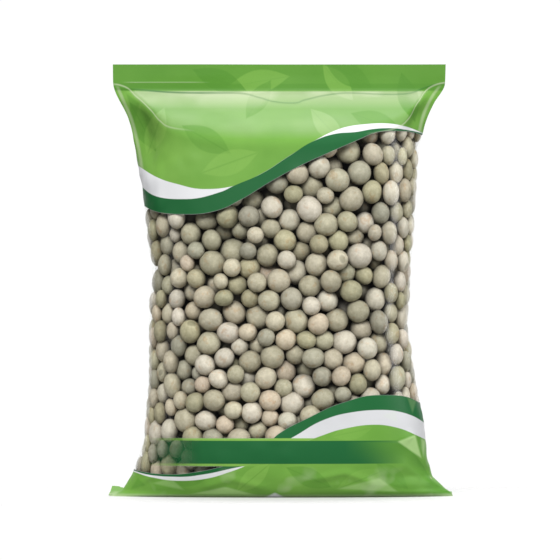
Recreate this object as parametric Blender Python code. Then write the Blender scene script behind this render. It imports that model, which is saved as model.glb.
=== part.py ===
"""Pillow bag of whole dried peas, standing on its base.

Two pieces: the film bag, one printed clear web sealed along its top, its base and a fin down the
back, and the dried peas that fill it. Metres, +Z up. The origin is on the standing surface under
the middle of the bag, the front of the bag faces -Y and the back seam faces +Y.
"""

import math

import bmesh
import bpy
import numpy as np
from mathutils.bvhtree import BVHTree

# Driving dimensions of the bag
BAG_HEIGHT = 0.175
WEB_WIDTH = 0.1355  # the film tube pressed flat, which is half of its girth
SEAL_HEIGHT = 0.010
FILM = 0.0006
FOOT_DEPTH = 0.019  # half the depth of the flat that it stands on
ROOF_SLOPE = 1.45  # depth gained for each unit of drop below the top seal
SMOOTHING = 0.003  # rounding where the roof or the foot meets the belly

# The side edge read off the front view: height above the table, then half width
EDGE_HEIGHTS = (0.0, 0.004, 0.010, 0.022, 0.052, 0.070, 0.092, 0.135, 0.150, 0.160, 0.167, 0.175)
EDGE_WIDTHS = (0.0690, 0.0642, 0.0600, 0.0573, 0.0538, 0.0526, 0.0528, 0.0570, 0.0597, 0.0640, 0.0672, 0.0677)

# How full a cross-section is: height, then flatness of the panels and roundness of the side edges
FULL_HEIGHTS = (0.0, 0.012, 0.040, 0.110, 0.150, 0.165)
PANEL_FLATNESS = (2.4, 2.6, 2.7, 2.7, 2.8, 2.8)
EDGE_ROUNDNESS = (1.15, 1.5, 2.2, 2.2, 1.5, 1.15)

# The folded base seal, whose ends stand out beside the foot
TAB_DEPTH = 0.010
TAB_THICKNESS = 0.0012

# The seam down the back, pressed flat to one side
FIN_WIDTH = 0.009
FIN_THICKNESS = 0.0008
FIN_RAMP = 0.0004

# A small hole through the back panel that lets the air out when bags are stacked
VENT_RADIUS = 0.00125
VENT_X = -0.030
VENT_Z = 0.142

# The peas against the film, in staggered rows that a seeded draw pushes out of line
PEA_RADIUS = 0.0048
PEAS_ROUND = 27
PEA_ROWS = 17
PEA_SEED = 7
SIDEWAYS_DRAW = 0.16  # how far a pea may sit out of line, as a share of the room for one
DEEPEST_DRAW = 0.0011
CROWN_SHARE = 0.62  # the ring of points round a pea's tip, as a share of its radius
CROWN_DROP = 0.22
HEAP_LOW = 0.0042
FILL_HEIGHT = 0.1450
FILM_CLEARANCE = 0.0006

# Mesh fineness
PANEL_STEPS = 22
BELLY_LEVELS = 11
ROOF_LEVELS = 7
FOOT_LEVELS = 6

FILM_COLOUR = (0.80, 0.88, 0.76, 0.35)
PEA_COLOUR = (0.58, 0.54, 0.42, 1.0)


def clear_scene():
    """Removes whatever objects the scene starts with."""
    for obj in list(bpy.data.objects):
        bpy.data.objects.remove(obj)


def plain_material(name, colour, roughness):
    """A Principled material of one colour."""
    material = bpy.data.materials.new(name)
    material.use_nodes = True
    shader = material.node_tree.nodes["Principled BSDF"]
    shader.inputs["Base Color"].default_value = (*colour[:3], 1.0)
    shader.inputs["Alpha"].default_value = colour[3]
    shader.inputs["Roughness"].default_value = roughness
    shader.inputs["Metallic"].default_value = 0.0
    return material


def eased(at, knots, values):
    """A smooth curve through (knots, values) with no overshoot, read at one place or several."""
    knots = np.asarray(knots, float)
    values = np.asarray(values, float)
    steps = np.diff(knots)
    slopes = np.diff(values) / steps
    bends = slopes[:-1] * slopes[1:]
    tangents = np.zeros(len(knots))
    inner = np.where(bends > 0, 2 * bends / np.where(bends > 0, slopes[:-1] + slopes[1:], 1.0), 0.0)
    tangents[1:-1] = inner
    tangents[0] = slopes[0]
    tangents[-1] = slopes[-1]
    place = np.clip(np.asarray(at, float), knots[0], knots[-1])
    left = np.clip(np.searchsorted(knots, place, side="right") - 1, 0, len(steps) - 1)
    t = (place - knots[left]) / steps[left]
    rise = values[left] * (1 + 2 * t) * (1 - t) ** 2 + values[left + 1] * t * t * (3 - 2 * t)
    return rise + steps[left] * (tangents[left] * t * (1 - t) ** 2 - tangents[left + 1] * t * t * (1 - t))


def soft_least(a, b, width):
    """The smaller of a and b, rounded off over width where they meet."""
    share = np.clip(0.5 + (b - a) / (2 * width), 0.0, 1.0)
    return b + (a - b) * share - width * share * (1 - share)


def half_width(z):
    """Half the bag's width at height z."""
    return eased(z, EDGE_HEIGHTS, EDGE_WIDTHS)


def fullness(z):
    """(flatness of the panels, roundness of the side edges) at height z."""
    return (
        eased(z, FULL_HEIGHTS, PANEL_FLATNESS),
        eased(z, FULL_HEIGHTS, EDGE_ROUNDNESS),
    )


def girth_depth():
    """Half the depth that takes up the web's whole girth at the waist, by bisection."""
    waist = 0.081
    width = float(half_width(waist))
    flatness, roundness = (float(value) for value in fullness(waist))
    across = width * np.sin(np.linspace(0, math.pi / 2, 400))
    low, high = 0.01, 0.06
    for _ in range(40):
        depth = (low + high) / 2
        drop = depth * (1 - (across / width) ** flatness) ** (1 / roundness)
        quarter = np.hypot(np.diff(across), np.diff(drop)).sum()
        low, high = (depth, high) if quarter < WEB_WIDTH / 2 else (low, depth)
    return low


BELLY_DEPTH = girth_depth()
FOOT_RISE = 0.024  # height at which the front and back have swelled out to full depth


def half_depth(z):
    """Half the bag's depth at height z: a roof below the top seal, a full belly and a flat foot."""
    z = np.asarray(z, float)
    roof = FILM + ROOF_SLOPE * np.clip(BAG_HEIGHT - SEAL_HEIGHT - z, 0.0, None)
    swell = np.sqrt(1 - (1 - np.clip(z / FOOT_RISE, 0.0, 1.0)) ** 2)
    belly = FOOT_DEPTH + (BELLY_DEPTH - FOOT_DEPTH) * swell
    return np.maximum(soft_least(roof, belly, SMOOTHING * 3), FILM)


def inset(z, by):
    """(half width, half depth) of the section at z, moved in by a distance square to the film."""
    step = 0.0005
    width, depth = half_width(z), half_depth(z)
    flatness, roundness = fullness(z)
    width_slope = (half_width(z + step) - half_width(z - step)) / (2 * step)
    depth_slope = (half_depth(z + step) - half_depth(z - step)) / (2 * step)
    wall = by * np.hypot(1.0, depth_slope)
    blunt = width - by * np.hypot(1.0, width_slope)
    sharp = width * np.clip(1 - np.clip(wall / depth, 0, 1) ** roundness, 0, 1) ** (1 / flatness)
    return np.minimum(blunt, sharp), depth - wall


def section(z, by, shares):
    """Depth of the front or back at each share of the half width, at height z, moved in by a distance."""
    width, depth = (float(value) for value in inset(z, by))
    flatness, roundness = (float(value) for value in fullness(z))
    across = width * shares
    return across, max(depth, 0.0) * (1 - np.abs(shares) ** flatness) ** (1 / roundness)


PANEL_SHARES = np.sin(np.linspace(-math.pi / 2, math.pi / 2, PANEL_STEPS + 1))
FINE_SHARES = np.sin(np.linspace(-math.pi / 2, math.pi / 2, 161))


def ring(z, by, level=None):
    """One closed loop of points round the bag: along the front from left to right, then back."""
    level = z if level is None else level
    across, depth = section(z, by, PANEL_SHARES)
    front = [(x, -y, level) for x, y in zip(across, depth)]
    back = [(x, y, level) for x, y in zip(across[-2:0:-1], depth[-2:0:-1])]
    return front + back


def finned_ring(z, level=None):
    """The outer loop at z, with the back seam standing out of it."""
    loop = ring(z, 0.0, level)
    level = z if level is None else level
    steps = PANEL_STEPS
    middle = steps + steps // 2  # place in the loop of the back point on the centre line
    behind = section(z, 0.0, np.array([0.0]))[1][0]
    fin = [
        (FIN_WIDTH + FIN_RAMP, behind, level),
        (FIN_WIDTH, behind + FIN_THICKNESS, level),
        (0.0, behind + FIN_THICKNESS, level),
        (-FIN_RAMP, behind, level),
    ]
    return loop[: middle - 1] + fin + loop[middle + 1 :]


def tabbed_ring(level):
    """The loop on the table: the foot, widened behind by the ends of the folded base seal."""
    reach = EDGE_WIDTHS[0]
    loop = []
    for x, y, _ in finned_ring(0.0, level):
        beside = y > 0 and y < TAB_DEPTH
        corner = beside and abs(x) > 0.97 * reach
        loop.append((math.copysign(reach, x) if corner else x, TAB_DEPTH if beside else y, level))
    return loop


def levels():
    """Heights of the loops between the base seal and the top seal, closer where the film curves."""
    seal_foot = BAG_HEIGHT - SEAL_HEIGHT
    foot_top, belly_top = FOOT_RISE, seal_foot - 0.027
    foot = TAB_THICKNESS + (foot_top - TAB_THICKNESS) * np.linspace(0, 1, FOOT_LEVELS, endpoint=False) ** 1.6
    belly = np.linspace(foot_top, belly_top, BELLY_LEVELS, endpoint=False)
    roof = np.linspace(belly_top, seal_foot, ROOF_LEVELS)
    return np.concatenate([foot, belly, roof])


def skin(mesh, loops, inward=False):
    """Faces between consecutive loops of as many points each, with a flat face over both ends."""
    rows = [[mesh.verts.new(point) for point in loop] for loop in loops]
    made = []
    for low, high in zip(rows[:-1], rows[1:]):
        for i in range(len(low)):
            j = (i + 1) % len(low)
            made.append(mesh.faces.new((low[i], low[j], high[j], high[i])))
    made.append(mesh.faces.new(rows[0][::-1]))
    made.append(mesh.faces.new(rows[-1]))
    if inward:
        bmesh.ops.reverse_faces(mesh, faces=made)


def mesh_object(name, mesh, material):
    """An object in the scene that holds a bmesh."""
    data = bpy.data.meshes.new(name)
    mesh.to_mesh(data)
    mesh.free()
    data.materials.append(material)
    obj = bpy.data.objects.new(name, data)
    bpy.context.scene.collection.objects.link(obj)
    return obj


def vent_cutter():
    """The helper that drills the vent through the back panel."""
    mesh = bmesh.new()
    bmesh.ops.create_cone(
        mesh, cap_ends=True, segments=12, radius1=VENT_RADIUS, radius2=VENT_RADIUS, depth=0.030
    )
    cutter = mesh_object("vent_cutter", mesh, plain_material("cutter", (1, 0, 0, 1), 0.5))
    cutter.location = (VENT_X, float(half_depth(VENT_Z)), VENT_Z)
    cutter.rotation_euler = (math.pi / 2, 0, 0)
    cutter.hide_render = True
    cutter.display_type = "WIRE"
    return cutter


def make_film_bag():
    """The sealed film bag: its outer skin, the hollow inside it and the vent between the two."""
    seal_top = [finned_ring(BAG_HEIGHT - SEAL_HEIGHT / 2), finned_ring(BAG_HEIGHT)]
    heights = levels()
    outside = [tabbed_ring(0.0), tabbed_ring(TAB_THICKNESS * 0.9)]
    outside += [finned_ring(z) for z in heights] + seal_top
    hollow_heights = [z for z in heights if z > FILM + TAB_THICKNESS and inset(z, FILM)[1] > FILM / 2]
    inside = [ring(TAB_THICKNESS, FILM, TAB_THICKNESS + FILM)]
    inside += [ring(z, FILM) for z in hollow_heights]
    mesh = bmesh.new()
    skin(mesh, outside)
    skin(mesh, inside, inward=True)
    bag = mesh_object("film_bag", mesh, plain_material("clear_film", FILM_COLOUR, 0.2))
    cut = bag.modifiers.new("vent", "BOOLEAN")
    cut.operation = "DIFFERENCE"
    cut.solver = "EXACT"
    cut.object = vent_cutter()
    return bag


def wall_point(share, z, by):
    """The point a share of the way round the section at height z, moved in from the film."""
    across, depth = section(z, by, FINE_SHARES)
    x = np.concatenate([across, across[-2::-1]])
    y = np.concatenate([-depth, depth[-2::-1]])
    run = np.concatenate([[0.0], np.cumsum(np.hypot(np.diff(x), np.diff(y)))])
    place = (share % 1.0) * run[-1]
    return np.array([np.interp(place, run, x), np.interp(place, run, y), z])


def inside_film(point):
    """Whether a point lies in the hollow of the bag."""
    x, y, z = point
    width = float(inset(z, FILM)[0])
    if abs(x) >= width:
        return False
    return abs(y) < section(z, FILM, np.array([x / width]))[1][0]


def pea_places():
    """(share of the way round, height, depth behind the film) of each pea, row by row.

    One more row below and one above only shape the hollows at the ends of the heap.
    """
    draw = np.random.default_rng(PEA_SEED)
    row_height = (FILL_HEIGHT - HEAP_LOW) / PEA_ROWS
    places = np.zeros((PEA_ROWS + 2, PEAS_ROUND, 3))
    for row in range(-1, PEA_ROWS + 1):
        offsets = draw.uniform(-SIDEWAYS_DRAW, SIDEWAYS_DRAW, (PEAS_ROUND, 2))
        places[row + 1, :, 0] = (np.arange(PEAS_ROUND) + 0.5 * (row % 2) + offsets[:, 0]) / PEAS_ROUND
        places[row + 1, :, 1] = HEAP_LOW + (row + 0.5 + offsets[:, 1]) * row_height
        places[row + 1, :, 2] = draw.uniform(0.0, DEEPEST_DRAW, PEAS_ROUND)
    return places


def between(places, corners):
    """The hollow between three peas that touch, on the end faces of the heap where it meets them."""
    spots = [places[row + 1, column % PEAS_ROUND] + (column // PEAS_ROUND, 0, 0) for row, column in corners]
    share, height, _ = np.mean(spots, axis=0)
    rows = [row for row, _ in corners]
    height = HEAP_LOW if min(rows) < 0 else height
    height = FILL_HEIGHT if max(rows) >= PEA_ROWS else height
    return wall_point(share, height, FILM + FILM_CLEARANCE + PEA_RADIUS)


def above(places, row, column):
    """The hollow over a pea and its right-hand neighbour."""
    return between(places, ((row, column), (row, column + 1), (row + 1, column + row % 2)))


def below(places, row, column):
    """The hollow under a pea and its right-hand neighbour."""
    return between(places, ((row, column), (row, column + 1), (row - 1, column + row % 2)))


def make_heap(material):
    """The solid heap whose sides are the peas against the film, each a blunt six-sided dome."""
    places = pea_places()
    mesh = bmesh.new()
    hollows = {}
    for row in range(-1, PEA_ROWS + 1):
        for column in range(PEAS_ROUND):
            if row < PEA_ROWS:
                hollows["above", row, column] = mesh.verts.new(above(places, row, column))
            if row >= 0:
                hollows["below", row, column] = mesh.verts.new(below(places, row, column))
    for row in range(PEA_ROWS):
        for column in range(PEAS_ROUND):
            share, height, behind = places[row + 1, column]
            left = (column - 1) % PEAS_ROUND
            beside = (column - 1 + row % 2) % PEAS_ROUND
            rim = [
                hollows["above", row, column],
                hollows["below", row + 1, beside],
                hollows["above", row, left],
                hollows["below", row, left],
                hollows["above", row - 1, beside],
                hollows["below", row, column],
            ]
            film_gap = FILM + FILM_CLEARANCE + behind
            tip = mesh.verts.new(wall_point(share, height, film_gap))
            heart = wall_point(share, height, film_gap + PEA_RADIUS * CROWN_DROP)
            foot = wall_point(share, height, film_gap + PEA_RADIUS)
            crown = []
            for corner in rim:
                outward = np.array(corner.co) - foot
                reach = CROWN_SHARE * PEA_RADIUS / np.linalg.norm(outward)
                crown.append(mesh.verts.new(heart + outward * reach))
            for step in range(6):
                after = (step + 1) % 6
                mesh.faces.new((tip, crown[after], crown[step]))
                mesh.faces.new((crown[step], crown[after], rim[after], rim[step]))
    for row, kinds in ((0, ("below", "above")), (PEA_ROWS, ("above", "below"))):
        lowest = row == 0
        loop = []
        for column in range(PEAS_ROUND):
            if lowest:
                loop.append(hollows["below", 0, column])
                loop.append(hollows["above", -1, column])
            else:
                loop.append(hollows["above", row - 1, column])
                loop.append(hollows["below", row, column])
        mesh.faces.new(loop)
    bmesh.ops.recalc_face_normals(mesh, faces=mesh.faces)
    return mesh_object("peas", mesh, material)


def make_peas(bag):
    """The dried peas: a heap with a pea at every place on its sides, and more lying on its top."""
    heap = make_heap(plain_material("dried_pea", PEA_COLOUR, 0.7))
    film = BVHTree.FromObject(bag, bpy.context.evaluated_depsgraph_get())
    batch = bpy.data.collections.new("top_peas")
    bpy.context.scene.collection.children.link(batch)
    draw = np.random.default_rng(PEA_SEED + 1)
    gap = 2.04 * PEA_RADIUS
    for line in range(-3, 4):
        for place in range(-6, 7):
            x = (place + 0.5 * (line % 2)) * gap + draw.uniform(-0.0005, 0.0005)
            y = line * gap * 0.87 + draw.uniform(-0.0005, 0.0005)
            centre = (x, y, FILL_HEIGHT + draw.uniform(-0.0009, 0.0003))
            turn = draw.uniform(0, math.tau, 3)
            if not inside_film(centre) or film.find_nearest(centre)[3] < PEA_RADIUS + FILM_CLEARANCE:
                continue
            mesh = bmesh.new()
            bmesh.ops.create_icosphere(mesh, subdivisions=1, radius=PEA_RADIUS)
            data = bpy.data.meshes.new("pea")
            mesh.to_mesh(data)
            mesh.free()
            pea = bpy.data.objects.new("pea", data)
            pea.location = centre
            pea.rotation_euler = turn
            batch.objects.link(pea)
    fuse = heap.modifiers.new("fuse", "BOOLEAN")
    fuse.operation = "UNION"
    fuse.operand_type = "COLLECTION"
    fuse.collection = batch
    fuse.solver = "MANIFOLD"
    bpy.context.view_layer.update()
    graph = bpy.context.evaluated_depsgraph_get()
    fused = bpy.data.meshes.new_from_object(heap.evaluated_get(graph))
    heap.modifiers.remove(fuse)
    heap.data = fused
    for pea in list(batch.objects):
        bpy.data.objects.remove(pea)
    bpy.data.collections.remove(batch)


def main():
    """Builds both pieces."""
    clear_scene()
    bag = make_film_bag()
    make_peas(bag)


main()
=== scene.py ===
"""Looks of a pillow bag of whole dried peas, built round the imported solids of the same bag.

The film bag and the peas in it are made in metres, +Z up, with the origin on the table under the
middle of the bag and the printed front facing -Y. Lengths in the classes below are in metres. The
print, the edges of the bag and its creases are in millimetres, as (across, height) points, or as
(height, across) points where a line runs up the bag.
"""

from __future__ import annotations

import logging
import math
from dataclasses import dataclass, field
from enum import Enum
from typing import Any, Optional, Sequence, Union

import bmesh
import bpy
import numpy as np
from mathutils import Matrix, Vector
from mathutils.bvhtree import BVHTree
from mathutils.kdtree import KDTree


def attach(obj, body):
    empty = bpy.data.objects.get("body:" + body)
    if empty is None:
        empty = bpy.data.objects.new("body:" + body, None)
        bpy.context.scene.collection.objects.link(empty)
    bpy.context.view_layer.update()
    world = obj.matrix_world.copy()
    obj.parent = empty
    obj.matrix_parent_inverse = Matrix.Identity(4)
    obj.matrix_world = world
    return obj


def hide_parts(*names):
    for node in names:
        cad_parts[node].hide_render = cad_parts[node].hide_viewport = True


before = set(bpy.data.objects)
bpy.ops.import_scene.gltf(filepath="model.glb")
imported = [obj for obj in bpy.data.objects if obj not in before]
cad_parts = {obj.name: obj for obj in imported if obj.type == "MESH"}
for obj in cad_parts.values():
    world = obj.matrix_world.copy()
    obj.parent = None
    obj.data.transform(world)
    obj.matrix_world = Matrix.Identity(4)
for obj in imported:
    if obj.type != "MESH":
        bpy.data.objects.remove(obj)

LOG = logging.getLogger("pea_bag")
MM = 0.001
SHARP_ANGLE = 50.0

Colour = tuple[float, float, float]
Span = tuple[float, float]
Outline = tuple[Span, ...]
Array = np.ndarray
Socket = bpy.types.NodeSocket


class Face(Enum):
    """The two panels of the bag, by the sign of the Y axis that each one faces."""

    FRONT = -1
    BACK = 1


class Joining(Enum):
    """The ways in which one colour is laid over another, as Blender names them."""

    PLAIN = "MIX"
    MULTIPLIED = "MULTIPLY"
    SOFT_LIGHT = "SOFT_LIGHT"


@dataclass(frozen=True)
class Grain:
    """How fine a noise is: its scale, how many finer layers it has and how strong they are."""

    scale: float
    layers: float = 3.0
    rough: float = 0.5


class Num:
    """A number in a material: a node's output or a plain value, with Python's arithmetic."""

    def __init__(self, graph: Graph, socket: Socket) -> None:
        """Wraps the output of a node in a graph, which new nodes are added to."""
        self.graph = graph
        self.socket = socket

    def maths(self, operation: str, *values: Number, clamp: bool = False) -> Num:
        """Adds one Math node.

        Args:
            operation: The Math node's operation.
            values: Its inputs, in order.
            clamp: Whether the result is held between 0 and 1.

        Returns:
            The node's result.
        """
        settings = {"operation": operation, "use_clamp": clamp}
        node = self.graph.node("ShaderNodeMath", settings, dict(enumerate(values)))
        return Num(self.graph, node.outputs[0])

    def __add__(self, other: Number) -> Num:
        """Sum."""
        return self.maths("ADD", self, other)

    def __radd__(self, other: Number) -> Num:
        """Sum with a plain number first."""
        return self.maths("ADD", other, self)

    def __sub__(self, other: Number) -> Num:
        """Difference."""
        return self.maths("SUBTRACT", self, other)

    def __rsub__(self, other: Number) -> Num:
        """Difference with a plain number first."""
        return self.maths("SUBTRACT", other, self)

    def __mul__(self, other: Number) -> Num:
        """Product."""
        return self.maths("MULTIPLY", self, other)

    def __rmul__(self, other: Number) -> Num:
        """Product with a plain number first."""
        return self.maths("MULTIPLY", other, self)

    def __truediv__(self, other: Number) -> Num:
        """Quotient."""
        return self.maths("DIVIDE", self, other)

    def __rtruediv__(self, other: Number) -> Num:
        """Quotient with a plain number first."""
        return self.maths("DIVIDE", other, self)

    def __pow__(self, other: Number) -> Num:
        """Power."""
        return self.maths("POWER", self, other)

    def __abs__(self) -> Num:
        """Size without sign."""
        return self.maths("ABSOLUTE", self)

    def clamped(self) -> Num:
        """The number held between 0 and 1."""
        return self.maths("ADD", self, 0.0, clamp=True)

    def least(self, other: Number) -> Num:
        """The smaller of two numbers."""
        return self.maths("MINIMUM", self, other)

    def most(self, other: Number) -> Num:
        """The larger of two numbers."""
        return self.maths("MAXIMUM", self, other)

    def sine(self) -> Num:
        """Sine of the number in radians."""
        return self.maths("SINE", self)

    def weighed(self, factor: float, more: Number) -> Num:
        """The number times a factor, plus another."""
        return self.maths("MULTIPLY_ADD", self, factor, more)

    def ramp(self, low: float, high: float) -> Num:
        """0 at low and 1 at high, in a straight line between them."""
        return self.maths("MULTIPLY_ADD", self, 1.0 / (high - low), -low / (high - low), clamp=True)


Number = Union[Num, float]


class Graph:
    """The nodes of one material or world, added one expression at a time."""

    def __init__(self, name: str, makes: str = "materials") -> None:
        """Starts an empty node tree.

        Args:
            name: The name of the material or world that it belongs to.
            makes: Which of Blender's collections that is made in.
        """
        self.owner = getattr(bpy.data, makes).new(name)
        self.owner.use_nodes = True
        self.tree = self.owner.node_tree
        self.tree.nodes.clear()

    def node(
        self,
        kind: str,
        settings: Optional[dict[str, Any]] = None,
        values: Optional[dict[Union[str, int], Any]] = None,
    ) -> bpy.types.Node:
        """Adds any node.

        Args:
            kind: The node's type.
            settings: Its own settings, set first.
            values: The value or link of each input, by name or by place.

        Returns:
            The new node.
        """
        node = self.tree.nodes.new(kind)
        for key, value in (settings or {}).items():
            setattr(node, key, value)
        for key, value in (values or {}).items():
            socket = node.inputs[key]
            if isinstance(value, Num):
                self.tree.links.new(value.socket, socket)
            elif isinstance(value, Socket):
                self.tree.links.new(value, socket)
            elif isinstance(value, tuple) and len(value) == 3 and socket.type == "RGBA":
                socket.default_value = (*value, 1.0)
            else:
                socket.default_value = value
        return node

    def place(self) -> Socket:
        """The point of the piece, in metres in the bag's own frame."""
        return self.node("ShaderNodeTexCoord").outputs["Object"]

    def split(self, vector: Socket) -> tuple[Num, Num, Num]:
        """The three parts of a vector."""
        node = self.node("ShaderNodeSeparateXYZ", None, {0: vector})
        return Num(self, node.outputs[0]), Num(self, node.outputs[1]), Num(self, node.outputs[2])

    def joined(self, x: Number, y: Number, z: Number) -> Socket:
        """A vector from three numbers."""
        return self.node("ShaderNodeCombineXYZ", None, {0: x, 1: y, 2: z}).outputs[0]

    def attribute(self, name: str) -> bpy.types.Node:
        """The node that reads a named attribute of the mesh."""
        return self.node("ShaderNodeAttribute", {"attribute_name": name})

    def noise(self, at: Socket, grain: Grain) -> Num:
        """Soft noise from 0 to 1, of a grain."""
        values = {"Vector": at, "Scale": grain.scale, "Detail": grain.layers, "Roughness": grain.rough}
        return Num(self, self.node("ShaderNodeTexNoise", None, values).outputs[0])

    def blend(
        self,
        share: Number,
        under: Union[Colour, Socket],
        over: Union[Colour, Socket],
        joining: Joining = Joining.PLAIN,
    ) -> Socket:
        """One colour laid over another, by the share of it that shows."""
        settings = {"data_type": "RGBA", "blend_type": joining.value}
        return self.node("ShaderNodeMix", settings, {0: share, 6: under, 7: over}).outputs[2]

    def curve(self, at: Num, points: Outline, low: Span, high: Span) -> Num:
        """A smooth curve through points, read at a number.

        Args:
            at: Where along the first axis it is read.
            points: The points that it passes through.
            low: The smallest value on each axis.
            high: The largest value on each axis.

        Returns:
            The curve's height there.
        """
        node = self.node("ShaderNodeFloatCurve")
        line = node.mapping.curves[0]
        spots = [tuple((p[i] - low[i]) / (high[i] - low[i]) for i in (0, 1)) for p in points]
        while len(line.points) < len(spots):
            line.points.new(0.5, 0.5)
        for point, spot in zip(line.points, spots):
            point.location = spot
            point.handle_type = "AUTO_CLAMPED"
        node.mapping.update()
        self.tree.links.new(at.ramp(low[0], high[0]).socket, node.inputs["Value"])
        return Num(self, node.outputs[0]) * (high[1] - low[1]) + low[1]

    def bump(self, height: Num, strength: float, distance: float) -> Socket:
        """A normal tilted by a height, whose 1 stands for a distance in metres."""
        values = {"Height": height, "Strength": strength, "Distance": distance}
        return self.node("ShaderNodeBump", None, values).outputs["Normal"]

    def mixed(self, share: Union[Number, Socket], under: Socket, over: Socket) -> Socket:
        """One shader mixed over another, by the share that the upper one has."""
        return self.node("ShaderNodeMixShader", None, {0: share, 1: under, 2: over}).outputs[0]

    def shader(self, kind: str, **values: Any) -> Socket:
        """A shader of a kind, with its inputs by name, underscores standing for spaces."""
        inputs = {name.replace("_", " "): value for name, value in values.items()}
        return self.node(f"ShaderNode{kind}", None, inputs).outputs[0]

    def finish(self, shader: Socket) -> bpy.types.Material:
        """Ends the material with its surface shader."""
        self.node("ShaderNodeOutputMaterial", None, {"Surface": shader})
        return self.owner


def eased(at: Array, points: Outline) -> Array:
    """A smooth curve through points that never overshoots them.

    Args:
        at: Where along the first axis it is read.
        points: The points, in order of their first number.

    Returns:
        The curve's value at each place.
    """
    knots, values = np.array(points, float).T
    steps = np.diff(knots)
    slopes = np.diff(values) / steps
    agree = slopes[:-1] * slopes[1:] > 0
    total = np.where(agree, slopes[:-1] + slopes[1:], 1.0)
    inner = np.where(agree, 2 * slopes[:-1] * slopes[1:] / total, 0.0)
    tangents = np.concatenate([slopes[:1], inner, slopes[-1:]])
    place = np.clip(np.asarray(at, float), knots[0], knots[-1])
    left = np.clip(np.searchsorted(knots, place, side="right") - 1, 0, len(steps) - 1)
    t = (place - knots[left]) / steps[left]
    rise = values[left] * (1 + 2 * t) * (1 - t) ** 2 + values[left + 1] * t * t * (3 - 2 * t)
    return rise + steps[left] * (tangents[left] * t * (1 - t) ** 2 - tangents[left + 1] * t * t * (1 - t))


def soft_least(a: Array, b: Array, width: float) -> Array:
    """The smaller of two values, rounded off over a width where they meet."""
    share = np.clip(0.5 + (b - a) / (2 * width), 0.0, 1.0)
    return b + (a - b) * share - width * share * (1 - share)


def bell(distance: Array, width: float) -> Array:
    """1 at no distance, falling away over a width."""
    return np.exp(-((distance / width) ** 2))


def smooth(share: Array) -> Array:
    """A share held between 0 and 1, and eased at both ends."""
    share = np.clip(share, 0, 1)
    return share * share * (3 - 2 * share)


def search_tree(points: Array) -> KDTree:
    """A tree that finds the nearest of some points.

    Args:
        points: The points, one row each.

    Returns:
        The tree.
    """
    tree = KDTree(len(points))
    for index, point in enumerate(points):
        tree.insert(point, index)
    tree.balance()
    return tree


def tube_faces(rings: int, around: int, turned: bool = False) -> list[list[int]]:
    """The faces between rings of points that follow each other.

    Args:
        rings: How many rings there are.
        around: How many points each has.
        turned: Whether the faces look the other way.

    Returns:
        The points of each face, by number.
    """
    faces = []
    for low in range(0, (rings - 1) * around, around):
        for column in range(around):
            after = (column + 1) % around
            first, *others = low + column, low + after, low + around + after, low + around + column
            faces.append([first, *(others[::-1] if turned else others)])
    return faces


def mesh_piece(
    name: str,
    points: Array,
    faces: Sequence[Sequence[int]],
    material: bpy.types.Material,
    sharp: Optional[float] = None,
) -> bpy.types.Object:
    """A smooth-shaded piece in the scene.

    Args:
        name: The piece's name.
        points: Its points.
        faces: The points of each face, by number.
        material: Its finish.
        sharp: The angle between faces, in degrees, from which an edge is sharp.

    Returns:
        The new object.
    """
    mesh = bpy.data.meshes.new(name)
    mesh.from_pydata(points.tolist(), [], [list(face) for face in faces])
    mesh.materials.append(material)
    mesh.shade_smooth()
    if sharp is not None:
        mesh.set_sharp_from_angle(angle=math.radians(sharp))
    mesh.update()
    piece = bpy.data.objects.new(name, mesh)
    bpy.context.scene.collection.objects.link(piece)
    return piece


@dataclass(frozen=True)
class PrintColours:
    """The inks on the film, and the colours of the light and shade painted on it."""

    mid_green: Colour = (0.138, 0.320, 0.047)
    pale_green: Colour = (0.225, 0.430, 0.080)
    deep_green: Colour = (0.075, 0.225, 0.024)
    dark_green: Colour = (0.009, 0.105, 0.028)
    white: Colour = (0.680, 0.685, 0.700)
    # Colours of painted light and shade: a greyer white for painted shade, a pale green-grey for painted
    # sheen, a bright green for painted highlights.
    white_in_painted_shade: Colour = (0.540, 0.545, 0.560)
    painted_light: Colour = (0.540, 0.600, 0.410)
    gleam: Colour = (0.520, 0.720, 0.330)


@dataclass(frozen=True)
class Panel:
    """A point of the print in a graph: across and up, in millimetres."""

    graph: Graph
    place: Socket
    x: Num
    z: Num
    span: Span = (-72, 72)
    crisp: float = 0.12

    def line(self, outline: Outline, heights: Span) -> Num:
        """The height of an outline here, whose least and greatest heights are given."""
        return self.graph.curve(self.x, outline, (self.span[0], heights[0]), (self.span[1], heights[1]))

    def above(self, outline: Outline, heights: Span) -> Num:
        """1 above an outline of the print and 0 under it."""
        return (self.z - self.line(outline, heights)).ramp(-self.crisp, self.crisp)

    def between(self, low: float, high: float) -> Num:
        """1 between two heights and 0 elsewhere."""
        return (self.z - low).ramp(-self.crisp, self.crisp) * (high - self.z).ramp(-self.crisp, self.crisp)

    def rim(self, outline: Outline) -> Num:
        """Where an outline that runs up the bag is.

        Args:
            outline: Its points, as (height, across).

        Returns:
            1 on the outline and 0 beside it.
        """
        heights, across = zip(*outline)
        low, high = (min(heights), min(across) - 1.0), (max(heights), max(across) + 1.0)
        return 1.0 - abs(self.x - self.graph.curve(self.z, outline, low, high)).ramp(0.3, 1.0)


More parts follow.
